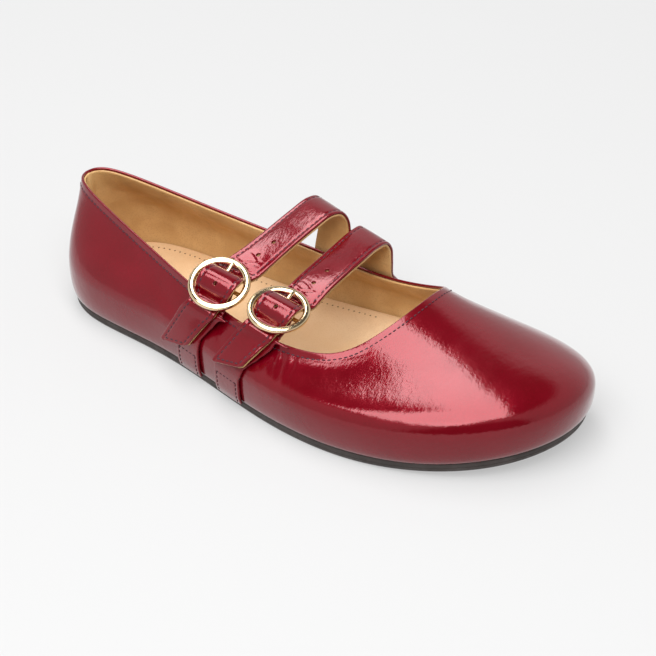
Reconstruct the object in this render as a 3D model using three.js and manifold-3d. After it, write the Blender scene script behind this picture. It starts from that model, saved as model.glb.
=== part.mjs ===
// Mary jane shoe for the right foot: a flat, round-toed slip-in with two buckled straps.
// Millimetres. X runs from heel to toe, +Y is the inner (medial) side, +Z is up, and the floor is z = 0.
import * as THREE from 'three';
import { mergeVertices } from 'three/addons/utils/BufferGeometryUtils.js';
import Module from 'manifold-3d';

const wasm = await Module();
wasm.setup();

// ---- driving sizes ------------------------------------------------------------------------------
const LENGTH = 250.5;          // heel to toe over the upper
const BALL_WIDTH = 103.2;      // over the upper at the ball of the foot
const HEEL_HEIGHT = 52.7;      // top of the collar at the back seam
const SOLE = 5;                // outsole thickness
const TOE_SPRING = 9;          // how far the sole lifts at the toe
const SPRING_FROM = 165;       // distance from the heel where the lift starts
const SPRING_TO = 252;         // distance from the heel where the lift is complete
const OVERHANG = 3;            // how far the upper bulges past its feather edge
const WALL = 2;                // leather and lining together
const MARGIN = 12;             // lasting margin, turned in under the insole
const MARGIN_THICK = 1.8;
const INSOLE = 2.5;
const GAP = 0.3;               // clearance between separate pieces
const STRIP_WIDTH = 11;        // strip over the back seam
const STRIP_PROUD = 1.2;
const STRAP_THICK = 2.2;
const TAB_THICK = 1.2;
const RING_MEAN = 11.8;        // buckle ring, centre of its wire
const WIRE_WIDE = 3.1;
const WIRE_HIGH = 2.4;
const BAR_RADIUS = 0.9;
const BAR_DROP = 0.8;          // the centre bar lies this far below the middle of the wire
const PRONG_WIDE = 2.0;
const PRONG_THICK = 1.1;
const MIDDLE = LENGTH / 2;     // the shoe stands centred on the origin

// ---- the last: sixteen sections round the foot -----------------------------------------------
// wideAt, topAt: % of LENGTH from the heel.  wideOut, topOut: % of half BALL_WIDTH, + inner side.
// wideUp: height of the widest line, mm.  topUp: height of the topline, % of HEEL_HEIGHT.
// rise: how far the wall climbs before it leans in, mm.  drop, lean: length (mm) and slope
// (degrees) of the wall as it reaches the topline.
const COLUMNS = ['wideAt', 'wideOut', 'wideUp', 'topAt', 'topOut', 'topUp', 'rise', 'drop', 'lean'];
const SECTIONS = [
  /* heel back  */ [-0.4, 0, 21.5, -0.6, 0, 98.7, 15, 11, 75],
  /* inner heel */ [1.2, 40.7, 21, 1, 16.5, 101.5, 15, 11, 76],
  /* inner 2    */ [8.4, 66.9, 20, 8.8, 28.1, 93.9, 12.5, 10.5, 78],
  /* inner 3    */ [24, 67.8, 20, 24.8, 45.5, 78.7, 9, 8.5, 79],
  /* inner 4    */ [39.1, 69.8, 19.5, 40.7, 62, 66.4, 7, 7, 79],
  /* inner ball */ [55.5, 86.2, 17.5, 56.3, 66.9, 59.8, 6, 8, 62],
  /* inner toes */ [74.7, 103.7, 15.5, 67.9, 69.8, 74, 6.5, 12, 46],
  /* great toe  */ [96.6, 94, 14, 69.7, 45.5, 91.1, 13, 30, 17],
  /* toe tip    */ [102.4, 17.4, 15, 69.7, 4.8, 91.1, 19.5, 45, 12],
  /* outer toe  */ [94.2, -59.1, 16, 67.7, -32, 80.6, 20.5, 30, 16],
  /* outer 6    */ [74.9, -100.8, 17.5, 63.5, -63, 66.4, 13.5, 14, 36],
  /* outer ball */ [56.1, -102.7, 18, 53.5, -71.7, 64.5, 9.5, 9, 60],
  /* outer 4    */ [39.1, -81.4, 19, 40.7, -64, 65.5, 7.5, 7, 78],
  /* outer 3    */ [24, -65.9, 20, 24.8, -45.5, 78.7, 9, 8.5, 79],
  /* outer 2    */ [8.4, -65.9, 20, 8.8, -28.1, 93.9, 12.5, 10, 78],
  /* outer heel */ [1.2, -40.7, 21, 1, -16.5, 101.5, 15, 11, 76],
];
const AROUND = 72;             // columns of the mesh round the foot
const LOW_SHARE = 0.25;        // share of the wall's height parameter below the widest line

// ---- buckles, straps and tabs ---------------------------------------------------------------------
// at: centre of the ring.  out: tilt to the outer side.  on: tilt towards the toe (degrees).
const BUCKLES = {
  rear: { at: [95.1, -27.5, 45.2], out: 22, on: 10 },
  front: { at: [125.8, -26.8, 43.8], out: 9, on: 9 },
};
// A route is a list of rows.  wall rows: side, at (from the heel), up (0 feather to 1 topline), off
// (from the wall to the middle of the strip).  ring rows: along the bar, inwards and above the ring.
// free rows: at, out and height in the open air, with the direction of the strap's width there.
const OVER_BAR = BAR_RADIUS - BAR_DROP + 2 * GAP + TAB_THICK + STRAP_THICK / 2;
const UNDER_RING = -(WIRE_HIGH / 2 + GAP + STRAP_THICK / 2) - 0.3;
const STRAPS = {
  rear: [
    { free: [82.2, -42.8, 18.7], across: [1, -0.15, 0.22], wide: 13.1 },
    { free: [85, -41.9, 23.7], across: [1, -0.12, 0.17], wide: 13.3 },
    { free: [87.7, -40.8, 28.5], across: [1, -0.06, 0.08], wide: 13.6 },
    { free: [90.4, -39.4, 33.3], across: [1, 0.02, -0.05], wide: 13.9 },
    { ring: [-1.2, -12.4, UNDER_RING - 0.2], wide: 14.2 },
    { ring: [-1, -9.6, UNDER_RING], wide: 14.4 },
    { ring: [-0.8, -6.8, -3], wide: 14.8 },
    { ring: [-0.3, -3.3, 1.3], wide: 17 },
    { ring: [0, 0, OVER_BAR], wide: 17.6 },
    { ring: [0.2, 2.6, 2.6], wide: 17.4 },
    { ring: [0.4, 4.8, 1.5], wide: 16.6 },
    { ring: [0.7, 6.8, -0.5], wide: 15.2 },
    { ring: [1.3, 8.9, -2.6], wide: 15.1 },
    { ring: [2.4, 11.4, UNDER_RING - 0.2], wide: 15.5 },
    { ring: [3.4, 14.2, UNDER_RING], wide: 16 },
    { free: [100.4, -4.5, 50.4], across: [1, -0.1, -0.05], wide: 16.6 },
    { free: [103, 7, 54.4], across: [1, -0.2, 0], wide: 17.1 },
    { free: [105.4, 17, 57.9], across: [1, -0.25, 0], wide: 17.3 },
    { free: [107.6, 26.4, 60.5], across: [1, -0.27, 0], wide: 17.4 },
    { free: [108.8, 31.7, 59.2], across: [1, -0.27, 0], wide: 17.4 },
    { free: [109.6, 34.7, 54.4], across: [1, -0.24, 0], wide: 17.4 },
    { free: [109.8, 35, 47.6], across: [1, -0.16, 0], wide: 17.6 },
    { free: [109.8, 34.2, 40.6], across: [1, -0.04, 0], wide: 18 },
    { wall: [1, 109.8, 0.92, 1.9], wide: 18.5 },
    { wall: [1, 109.8, 0.6, 1.7], wide: 19 },
    { wall: [1, 109.8, 0.26, 1.8], wide: 19 },
    { wall: [1, 109.8, 0.06, 2], wide: 19 },
  ],
  front: [
    { free: [115.1, -49, 24], across: [1, -0.1, 0.25], wide: 14.6 },
    { free: [117.4, -46.6, 27.9], across: [1, -0.08, 0.18], wide: 14.6 },
    { free: [119.7, -43.7, 31.7], across: [1, -0.04, 0.07], wide: 14.6 },
    { free: [122, -40.5, 35.6], across: [1, 0, -0.06], wide: 14.6 },
    { ring: [-1.2, -12.4, UNDER_RING - 0.2], wide: 14.6 },
    { ring: [-1, -9.6, UNDER_RING], wide: 14.7 },
    { ring: [-0.8, -6.8, -3], wide: 15 },
    { ring: [-0.3, -3.3, 1.3], wide: 17 },
    { ring: [0, 0, OVER_BAR], wide: 17.6 },
    { ring: [0.2, 2.6, 2.6], wide: 17.4 },
    { ring: [0.4, 4.8, 1.5], wide: 16.6 },
    { ring: [0.6, 6.8, -0.5], wide: 15.2 },
    { ring: [1, 8.9, -2.6], wide: 15.1 },
    { ring: [1.5, 11.2, UNDER_RING - 0.1], wide: 15.4 },
    { ring: [2, 13.8, UNDER_RING + 0.5], wide: 15.8 },
    { free: [127.9, -3.6, 45.8], across: [1, -0.06, -0.05], wide: 16.4 },
    { free: [128.6, 8, 48], across: [1, -0.14, 0], wide: 16.9 },
    { free: [129.2, 18.5, 49.8], across: [1, -0.2, 0], wide: 17.2 },
    { free: [129.7, 28, 51.2], across: [1, -0.24, 0], wide: 17.3 },
    { free: [130, 34.6, 50.4], across: [1, -0.24, 0], wide: 17.3 },
    { free: [130.1, 37.3, 46.2], across: [1, -0.18, 0], wide: 17.4 },
    { free: [130, 37, 40.6], across: [1, -0.08, 0], wide: 17.7 },
    { wall: [1, 130, 0.96, 1.9], wide: 18.2 },
    { wall: [1, 130, 0.62, 1.7], wide: 18.6 },
    { wall: [1, 130, 0.26, 1.8], wide: 18.8 },
    { wall: [1, 130, 0.06, 2], wide: 18.8 },
  ],
};
const UNDER_STRAP = (STRAP_THICK + TAB_THICK) / 2 + GAP + 0.1;
const WRAP = BAR_RADIUS + GAP + TAB_THICK / 2;
// under rows lie beneath a row of the strap, counted from its tip, and slide along its width.
const TABS = {
  rear: [
    { wall: [-1, 88.4, 0.05, 1.1], wide: 14 },
    { wall: [-1, 88.6, 0.26, 1.1], wide: 14 },
    { wall: [-1, 89.2, 0.45, 1.3], wide: 14 },
    { under: 3, slide: 2.6, wide: 13.8 },
    { under: 4, slide: 2.9, wide: 13.6 },
    { under: 5, slide: 2.2, wide: 13.6 },
    { under: 6, slide: 1.3, wide: 13.6 },
    { ring: [-0.3, -3.6, -3.2], wide: 13.6 },
  ],
  front: [
    { wall: [-1, 113.5, 0.05, 1], wide: 15.6 },
    { wall: [-1, 114, 0.26, 1], wide: 15.6 },
    { wall: [-1, 116, 0.46, 1.1], wide: 15.2 },
    { under: 3, slide: 1.8, wide: 14.6 },
    { under: 4, slide: 2.4, wide: 14 },
    { under: 5, slide: 1.9, wide: 13.8 },
    { under: 6, slide: 1.2, wide: 13.8 },
    { ring: [-0.3, -3.6, -3.2], wide: 13.8 },
  ],
};

// ---- surface of the last --------------------------------------------------------------------------
const radians = THREE.MathUtils.degToRad;

function soleTop(x) {
  const share = THREE.MathUtils.clamp((x - SPRING_FROM) / (SPRING_TO - SPRING_FROM), 0, 1.2);
  return SOLE + TOE_SPRING * share * share;
}

// Values of every column at u, where u runs once round the foot: heel 0, inner side, toe 0.5, outer side.
function sectionAt(u) {
  const n = SECTIONS.length;
  const s = (u - Math.floor(u)) * n;
  const i = Math.floor(s);
  const t = s - i;
  const weights = [
    (1 - t) ** 3 / 6,
    (3 * t ** 3 - 6 * t * t + 4) / 6,
    (-3 * t ** 3 + 3 * t * t + 3 * t + 1) / 6,
    t ** 3 / 6,
  ];
  const row = {};
  COLUMNS.forEach((name, c) => {
    row[name] = weights.reduce((sum, w, k) => sum + w * SECTIONS[(i + k - 1 + n) % n][c], 0);
  });
  return row;
}

function widest(u) {
  const s = sectionAt(u);
  const x = s.wideAt * LENGTH / 100;
  return new THREE.Vector3(x, s.wideOut * BALL_WIDTH / 200, s.wideUp + soleTop(x) - SOLE);
}

// Unit direction, flat, pointing into the foot at u.
function inward(u) {
  const a = widest(u - 1e-4);
  const b = widest(u + 1e-4);
  return new THREE.Vector3(b.y - a.y, a.x - b.x, 0).normalize();
}

// The feather line, moved further in by inset and up by lift from the top of the sole.
function feather(u, inset = 0, lift = 0) {
  const p = widest(u).addScaledVector(inward(u), OVERHANG + inset);
  p.z = soleTop(p.x) + lift;
  return p;
}

// Outer face of the upper: p is 0 at the feather, LOW_SHARE at the widest line, 1 at the topline.
function outer(u, p) {
  const wide = widest(u);
  if (p < LOW_SHARE) {
    const turn = p / LOW_SHARE * Math.PI / 2;
    const foot = feather(u);
    const out = Math.sin(turn);
    return new THREE.Vector3(foot.x + (wide.x - foot.x) * out, foot.y + (wide.y - foot.y) * out,
      foot.z + (wide.z - foot.z) * (1 - Math.cos(turn)));
  }
  const s = sectionAt(u);
  const top = new THREE.Vector3(s.topAt * LENGTH / 100, s.topOut * BALL_WIDTH / 200,
    s.topUp * HEEL_HEIGHT / 100);
  const away = new THREE.Vector3(wide.x - top.x, wide.y - top.y, 0).normalize();
  const tilt = radians(s.lean);
  const low = wide.clone().setZ(wide.z + s.rise);
  const high = top.clone().addScaledVector(away, s.drop * Math.cos(tilt));
  high.z -= s.drop * Math.sin(tilt);
  return new THREE.CubicBezierCurve3(wide, low, high, top).getPoint((p - LOW_SHARE) / (1 - LOW_SHARE));
}

function outerNormal(u, p) {
  const step = 1e-3;
  const along = outer(u + step, p).sub(outer(u - step, p));
  const up = outer(u, Math.min(p + step, 1)).sub(outer(u, Math.max(p - step, 0)));
  return up.cross(along).normalize();
}

function wallPoint(u, p, off) {
  return outer(u, p).addScaledVector(outerNormal(u, p), off);
}

// The column u on one side (+1 inner, -1 outer) whose wall is at a given distance from the heel.
function columnAt(side, at, p) {
  let low = 0;
  let high = 0.5;
  for (let k = 0; k < 40; k += 1) {
    const mid = (low + high) / 2;
    if (outer(side * mid, p).x < at) low = mid;
    else high = mid;
  }
  return side * low;
}

// ---- mesh helpers -----------------------------------------------------------------------------------
function solid(points, faces) {
  const geometry = new THREE.BufferGeometry();
  geometry.setAttribute('position', new THREE.Float32BufferAttribute(points.flatMap((p) => p.toArray()), 3));
  geometry.setIndex(faces);
  return geometry;
}

function quad(a, b, c, d) {
  return [a, b, c, a, c, d];
}

// Rings that close on themselves both ways, like the skin of a tyre.
function closedSkin(rings) {
  const m = rings[0].length;
  const n = rings.length;
  const faces = [];
  for (let i = 0; i < n; i += 1) {
    for (let j = 0; j < m; j += 1) {
      const next = ((i + 1) % n) * m;
      const up = (j + 1) % m;
      faces.push(...quad(i * m + j, i * m + up, next + up, next + j));
    }
  }
  return solid(rings.flat(), faces);
}

// Outlines stacked from the underside to the top, each closed across from inner to outer side.
function stack(outlines) {
  const n = outlines[0].length;
  const faces = [];
  for (let k = 0; k + 1 < outlines.length; k += 1) {
    for (let i = 0; i < n; i += 1) {
      const j = (i + 1) % n;
      faces.push(...quad(k * n + j, k * n + i, (k + 1) * n + i, (k + 1) * n + j));
    }
  }
  const cap = (start, flip) => {
    for (let i = 0; i < n / 2; i += 1) {
      const strip = [start + i, start + i + 1, start + (n - i - 1) % n, start + (n - i) % n];
      const [a, b, c, d] = flip ? strip : strip.reverse();
      if (a !== d && b !== c) faces.push(...quad(a, b, c, d));
      else faces.push(...(a === d ? [a, b, c] : [a, b, d]));
    }
  };
  cap(0, true);
  cap((outlines.length - 1) * n, false);
  return solid(outlines.flat(), faces);
}

// A strip with a rectangular section, from stations { at, out, half }: middle, face direction, half width.
function strip(stations, thick) {
  const points = [];
  const faces = [];
  stations.forEach(({ at, out, half }, k) => {
    [[-1, -1], [1, -1], [1, 1], [-1, 1]].forEach(([w, h]) => {
      points.push(at.clone().addScaledVector(half, w).addScaledVector(out, h * thick / 2));
    });
    if (k === 0) return;
    const a = 4 * (k - 1);
    for (let c = 0; c < 4; c += 1) {
      const d = (c + 1) % 4;
      faces.push(...quad(a + c, a + 4 + c, a + 4 + d, a + d));
    }
  });
  const end = 4 * (stations.length - 1);
  faces.push(...quad(0, 1, 2, 3), ...quad(end + 3, end + 2, end + 1, end));
  return solid(points, faces);
}

function toManifold(geometry) {
  const bare = geometry.clone();
  bare.deleteAttribute('normal');
  bare.deleteAttribute('uv');
  const merged = mergeVertices(bare, 1e-3);
  return new wasm.Manifold(new wasm.Mesh({
    numProp: 3,
    vertProperties: new Float32Array(merged.attributes.position.array),
    triVerts: new Uint32Array(merged.index.array),
  }));
}

function fromManifold(body) {
  const mesh = body.getMesh();
  const geometry = new THREE.BufferGeometry();
  geometry.setAttribute('position', new THREE.BufferAttribute(mesh.vertProperties, 3));
  geometry.setIndex(new THREE.BufferAttribute(mesh.triVerts, 1));
  return geometry;
}

// Cuts the tool out and keeps the largest piece that is left.
function cut(geometry, tool) {
  const pieces = toManifold(geometry).subtract(toManifold(tool)).decompose();
  return fromManifold(pieces.reduce((a, b) => (a.volume() > b.volume() ? a : b)));
}

const join = (a, b) => fromManifold(toManifold(a).add(toManifold(b)));

// ---- upper, sole, insole, back strip ------------------------------------------------------------------
function upperGeometry() {
  const lowSteps = 4;
  const highSteps = 9;
  const rings = [];
  for (let i = 0; i < AROUND; i += 1) {
    const u = i / AROUND;
    const ring = [];
    for (let j = 0; j < lowSteps; j += 1) ring.push(outer(u, LOW_SHARE * j / lowSteps));
    for (let j = 0; j <= highSteps; j += 1) ring.push(outer(u, LOW_SHARE + (1 - LOW_SHARE) * j / highSteps));
    for (let j = highSteps; j >= 0; j -= 1) {
      ring.push(wallPoint(u, LOW_SHARE + (1 - LOW_SHARE) * j / highSteps, -WALL));
    }
    const wide = wallPoint(u, LOW_SHARE, -WALL);
    const foot = feather(u, 0.55, MARGIN_THICK);
    for (let j = lowSteps - 1; j >= 0; j -= 1) {
      const turn = j / lowSteps * Math.PI / 2;
      const across = foot.clone().lerp(wide, Math.sin(turn));
      across.z = foot.z + (wide.z - foot.z) * (1 - Math.cos(turn));
      ring.push(across);
    }
    ring.push(feather(u, MARGIN, MARGIN_THICK), feather(u, MARGIN, 0));
    rings.push(ring);
  }
  return closedSkin(rings);
}

function outline(inset, lift) {
  return Array.from({ length: AROUND }, (_, i) => feather(i / AROUND, inset, lift));
}

function soleGeometry() {
  const profile = [[4, -SOLE], [2.2, -SOLE + 0.15], [0.8, -SOLE + 1.3], [-0.3, -2], [-0.4, -GAP]];
  return stack(profile.map(([inset, lift]) => outline(inset, lift)));
}

function insoleGeometry() {
  const base = MARGIN_THICK + GAP;
  return stack([outline(0.75, base), outline(0.3, base + INSOLE * 0.5), outline(0.1, base + INSOLE)]);
}

function backStripGeometry() {
  const across = 6;
  const upSteps = 15;
  const reach = 0.05;
  const halfAt = (share) => reach * share * STRIP_WIDTH / 2 / widest(reach).y;
  const rings = [];
  for (let i = 0; i <= across; i += 1) {
    const u = halfAt(2 * i / across - 1);
    const ps = Array.from({ length: upSteps + 1 }, (_, j) => 0.03 + 0.86 * j / upSteps);
    rings.push([...ps.map((p) => wallPoint(u, p, STRIP_PROUD)),
      ...ps.reverse().map((p) => wallPoint(u, p, GAP + 0.1))]);
  }
  const m = rings[0].length;
  const faces = [];
  for (let i = 0; i < across; i += 1) {
    for (let j = 0; j < m; j += 1) {
      const up = (j + 1) % m;
      faces.push(...quad(i * m + j, i * m + up, (i + 1) * m + up, (i + 1) * m + j));
    }
  }
  const last = across * m;
  for (let j = 0; j < upSteps; j += 1) {
    faces.push(...quad(j + 1, j, m - 1 - j, m - 2 - j));
    faces.push(...quad(last + j, last + j + 1, last + m - 2 - j, last + m - 1 - j));
  }
  return solid(rings.flat(), faces);
}

// ---- buckles -----------------------------------------------------------------------------------------
// bar: along the centre bar, towards the toe.  inner: across the ring, to the inner side.  up: off the ring.
function ringFrame({ at, out, on }) {
  const up = new THREE.Vector3(Math.sin(radians(on)), -Math.cos(radians(on)) * Math.sin(radians(out)),
    Math.cos(radians(on)) * Math.cos(radians(out)));
  const bar = new THREE.Vector3(1, 0, 0).addScaledVector(up, -up.x).normalize();
  const inner = up.clone().cross(bar);
  return { centre: new THREE.Vector3(...at), bar, inner, up };
}

function inRing(frame, [along, across, above]) {
  return frame.centre.clone().addScaledVector(frame.bar, along)
    .addScaledVector(frame.inner, across).addScaledVector(frame.up, above);
}

// Turns a geometry modelled about Y into the ring's frame, Y becoming the given direction.
function place(geometry, frame, x, y, z) {
  const turn = new THREE.Matrix4().makeBasis(x, y, z);
  return geometry.applyMatrix4(turn.setPosition(frame.centre));
}

function ringGeometry(frame, grow = 0) {
  const sides = 10;
  const section = [];
  for (let k = 0; k <= sides; k += 1) {
    const turn = (k % sides) / sides * Math.PI * 2;
    section.push(new THREE.Vector2(RING_MEAN + (WIRE_WIDE / 2 + grow) * Math.cos(turn),
      (WIRE_HIGH / 2 + grow) * Math.sin(turn)));
  }
  const ring = place(new THREE.LatheGeometry(section, 34), frame, frame.bar, frame.up,
    frame.inner.clone().negate());
  const length = 2 * (RING_MEAN - WIRE_WIDE / 4);
  const rod = new THREE.CylinderGeometry(BAR_RADIUS, BAR_RADIUS, length, 12).translate(0, 0, BAR_DROP);
  return join(ring, place(rod, frame, frame.inner, frame.bar, frame.up.clone().negate()));
}

// The prong hooks round the bar and rests its tip on the ring; grow thickens it to cut clearances.
function prongGeometry(frame, grow = 0) {
  const hook = BAR_RADIUS + GAP + PRONG_THICK / 2;
  const route = [];
  for (let turn = 265; turn >= 85; turn -= 20) {
    route.push([0, hook * Math.cos(radians(turn)), hook * Math.sin(radians(turn)) - BAR_DROP]);
  }
  const tip = WIRE_HIGH / 2 + GAP / 2 + PRONG_THICK / 2;
  route.push([0, 2.6, 0.55], [0, 4.4, 0.9], [0, 6.6, 1.6], [0, 9, tip], [0, 11 + grow, tip]);
  const middle = route.map((row) => inRing(frame, row));
  const half = frame.bar.clone().multiplyScalar(PRONG_WIDE / 2 + grow);
  const stations = middle.map((at, k) => {
    const run = middle[Math.min(k + 1, middle.length - 1)].clone().sub(middle[Math.max(k - 1, 0)]);
    return { at, half, out: frame.bar.clone().cross(run).normalize() };
  });
  return strip(stations, PRONG_THICK + 2 * grow);
}

// ---- straps and tabs -----------------------------------------------------------------------------------
// Each row of a route becomes a point and the direction of the strip's width there.
function routePoint(row, frame) {
  if (row.ring) return { at: inRing(frame, row.ring), across: frame.bar.clone() };
  if (row.free) {
    return { at: new THREE.Vector3(...row.free), across: new THREE.Vector3(...row.across).normalize() };
  }
  const [side, at, up, off] = row.wall;
  const u = columnAt(side, at, up);
  const across = outer(u + side * 0.01, up).sub(outer(u - side * 0.01, up)).normalize();
  return { at: wallPoint(u, up, off), across };
}

// Between two rows on the same wall, or under the same strap, a strip keeps following it.
function follow(rows) {
  return rows.flatMap((row, k) => {
    const next = rows[k + 1];
    const kind = ['wall', 'under'].find((name) => row[name] !== undefined && next?.[name] !== undefined);
    if (!kind) return [row];
    const between = kind === 'wall' ? 2 : 1;
    return Array.from({ length: between + 1 }, (_, j) => {
      const mix = (a, b) => THREE.MathUtils.lerp(a, b, j / (between + 1));
      const mixed = { wide: mix(row.wide, next.wide) };
      if (kind === 'wall') return { ...mixed, wall: row.wall.map((value, c) => mix(value, next.wall[c])) };
      return { ...mixed, under: mix(row.under, next.under), slide: mix(row.slide, next.slide) };
    });
  });
}

function stationsAlong(marks, steps) {
  const middle = new THREE.CatmullRomCurve3(marks.map((m) => m.at));
  const widths = new THREE.CatmullRomCurve3(marks.map((m) => m.across));
  const count = (marks.length - 1) * steps;
  return Array.from({ length: count + 1 }, (_, k) => {
    const low = Math.min(Math.floor(k / steps), marks.length - 2);
    const wide = THREE.MathUtils.lerp(marks[low].wide, marks[low + 1].wide, k / steps - low);
    const run = middle.getTangent(k / count);
    const across = widths.getPoint(k / count).normalize();
    const slant = Math.sqrt(1 - across.dot(run) ** 2);
    return {
      at: middle.getPoint(k / count),
      out: across.clone().cross(run).normalize(),
      half: across.multiplyScalar(wide / 2 / slant),
    };
  });
}

function strapStations(name, frame, steps) {
  const marks = follow(STRAPS[name]).map((row) => ({ ...routePoint(row, frame), wide: row.wide }));
  return stationsAlong(marks, steps);
}

// The strap is notched round the prong and eased where it squeezes past the ring.
function strapGeometry(name, frame) {
  const strap = strip(strapStations(name, frame, 3), STRAP_THICK);
  return cut(cut(strap, prongGeometry(frame, 0.45)), ringGeometry(frame, GAP));
}

function tabGeometry(name, frame) {
  const halves = strapStations(name, frame, 2);
  const marks = follow(TABS[name]).map((row) => {
    if (row.under === undefined) return { ...routePoint(row, frame), wide: row.wide };
    const { at, out, half } = halves[Math.round(2 * row.under)];
    const across = half.clone().normalize();
    const below = at.clone().addScaledVector(out, -UNDER_STRAP).addScaledVector(across, row.slide);
    return { at: below, across, wide: row.wide };
  });
  const { wide } = marks[marks.length - 1];
  const fold = [];
  for (let turn = 170; turn >= -90; turn -= 32.5) {
    fold.push([0, WRAP * Math.cos(radians(turn)), WRAP * Math.sin(radians(turn)) - BAR_DROP]);
  }
  fold.push([0, -1.4, -3.9], [0, -3.2, -5.9]);
  marks.push(...fold.map((point) => ({ at: inRing(frame, point), across: frame.bar, wide })));
  const slot = place(new THREE.BoxGeometry(PRONG_WIDE + 1, 7.4, 9.6), frame, frame.bar, frame.inner, frame.up);
  slot.translate(frame.inner.x, frame.inner.y, frame.inner.z);
  const tab = cut(strip(stationsAlong(marks, 2), TAB_THICK), slot);
  return cut(tab, strip(strapStations(name, frame, 3), STRAP_THICK + 2 * GAP));
}

// ---- the shoe ------------------------------------------------------------------------------------------
const FINISH = {
  patent: new THREE.MeshStandardMaterial({ color: 0x8a0f22, roughness: 0.18 }),
  lining: new THREE.MeshStandardMaterial({ color: 0xdba56e, roughness: 0.6 }),
  rubber: new THREE.MeshStandardMaterial({ color: 0x2e2522, roughness: 0.7 }),
  gold: new THREE.MeshStandardMaterial({ color: 0xe3c48f, roughness: 0.12, metalness: 1 }),
};

const shoe = new THREE.Group();
shoe.position.x = -MIDDLE;

function add(name, geometry, material) {
  const mesh = new THREE.Mesh(geometry, material);
  mesh.name = name;
  shoe.add(mesh);
}

add('outsole', soleGeometry(), FINISH.rubber);
add('insole', insoleGeometry(), FINISH.lining);
add('upper', upperGeometry(), FINISH.patent);
add('back_strip', backStripGeometry(), FINISH.patent);
for (const name of Object.keys(BUCKLES)) {
  const frame = ringFrame(BUCKLES[name]);
  add(`strap_${name}`, strapGeometry(name, frame), FINISH.patent);
  add(`buckle_tab_${name}`, tabGeometry(name, frame), FINISH.patent);
  add(`buckle_${name}`, ringGeometry(frame), FINISH.gold);
  add(`prong_${name}`, prongGeometry(frame), FINISH.gold);
}

const model = new THREE.Group();
model.add(shoe);
export default model;
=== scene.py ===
"""Patent mary jane for the right foot, with two buckled straps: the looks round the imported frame.

Sizes are millimetres from the back of the heel, with +Y to the inner side of the foot, until placed() puts
them in the frame in metres.
"""
import math

import bmesh
import bpy
import numpy as np
from mathutils import Matrix, Vector


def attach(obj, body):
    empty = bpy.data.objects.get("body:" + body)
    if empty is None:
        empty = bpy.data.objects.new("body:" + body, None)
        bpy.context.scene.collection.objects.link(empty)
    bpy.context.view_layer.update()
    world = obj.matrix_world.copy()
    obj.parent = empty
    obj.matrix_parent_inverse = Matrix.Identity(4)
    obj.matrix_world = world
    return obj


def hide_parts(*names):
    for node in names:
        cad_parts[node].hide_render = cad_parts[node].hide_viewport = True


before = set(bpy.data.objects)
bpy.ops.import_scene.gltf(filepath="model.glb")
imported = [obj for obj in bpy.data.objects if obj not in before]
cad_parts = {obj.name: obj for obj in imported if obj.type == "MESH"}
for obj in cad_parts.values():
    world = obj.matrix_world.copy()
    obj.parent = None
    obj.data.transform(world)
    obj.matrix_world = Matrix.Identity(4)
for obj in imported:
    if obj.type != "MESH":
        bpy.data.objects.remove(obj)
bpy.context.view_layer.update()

# ---- driving sizes, as in the frame ----------------------------------------------
MM = 0.001
LENGTH = 250.5
BALL_WIDTH = 103.2
HEEL_HEIGHT = 52.7
SOLE = 5.0
TOE_SPRING = 9.0
SPRING_FROM = 165.0
SPRING_TO = 252.0
OVERHANG = 3.0
WALL = 2.0
INSOLE_LOW = 2.1               # the insole lies on the turned-in margin, this far above the sole
INSOLE_HIGH = 4.6
STRIP_WIDTH = 11.0
STRAP_THICK = 2.2
TAB_THICK = 1.2
RING_MEAN = 11.8
WIRE_WIDE = 3.1
WIRE_HIGH = 2.4
BAR_RADIUS = 0.9
BAR_DROP = 0.8
PRONG_WIDE = 2.0
PRONG_THICK = 1.1
GAP = 0.3
MIDDLE = LENGTH / 2

COLUMNS = ("wide_at", "wide_out", "wide_up", "top_at", "top_out", "top_up", "rise", "drop", "lean")
SECTIONS = np.array([
    (-0.4, 0, 21.5, -0.6, 0, 98.7, 15, 11, 75),             # heel back
    (1.2, 40.7, 21, 1, 16.5, 101.5, 15, 11, 76),            # inner side, to the toe
    (8.4, 66.9, 20, 8.8, 28.1, 93.9, 12.5, 10.5, 78),
    (24, 67.8, 20, 24.8, 45.5, 78.7, 9, 8.5, 79),
    (39.1, 69.8, 19.5, 40.7, 62, 66.4, 7, 7, 79),
    (55.5, 86.2, 17.5, 56.3, 66.9, 59.8, 6, 8, 62),
    (74.7, 103.7, 15.5, 67.9, 69.8, 74, 6.5, 12, 46),
    (96.6, 94, 14, 69.7, 45.5, 91.1, 13, 30, 17),
    (102.4, 17.4, 15, 69.7, 4.8, 91.1, 19.5, 45, 12),       # toe tip
    (94.2, -59.1, 16, 67.7, -32, 80.6, 20.5, 30, 16),       # outer side, back to the heel
    (74.9, -100.8, 17.5, 63.5, -63, 66.4, 13.5, 14, 36),
    (56.1, -102.7, 18, 53.5, -71.7, 64.5, 9.5, 9, 60),
    (39.1, -81.4, 19, 40.7, -64, 65.5, 7.5, 7, 78),
    (24, -65.9, 20, 24.8, -45.5, 78.7, 9, 8.5, 79),
    (8.4, -65.9, 20, 8.8, -28.1, 93.9, 12.5, 10, 78),
    (1.2, -40.7, 21, 1, -16.5, 101.5, 15, 11, 76),
])
LOW_SHARE = 0.25

BUCKLES = {
    "rear": {"at": (95.1, -27.5, 45.2), "out": 22, "on": 10},
    "front": {"at": (125.8, -26.8, 43.8), "out": 9, "on": 9},
}
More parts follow.
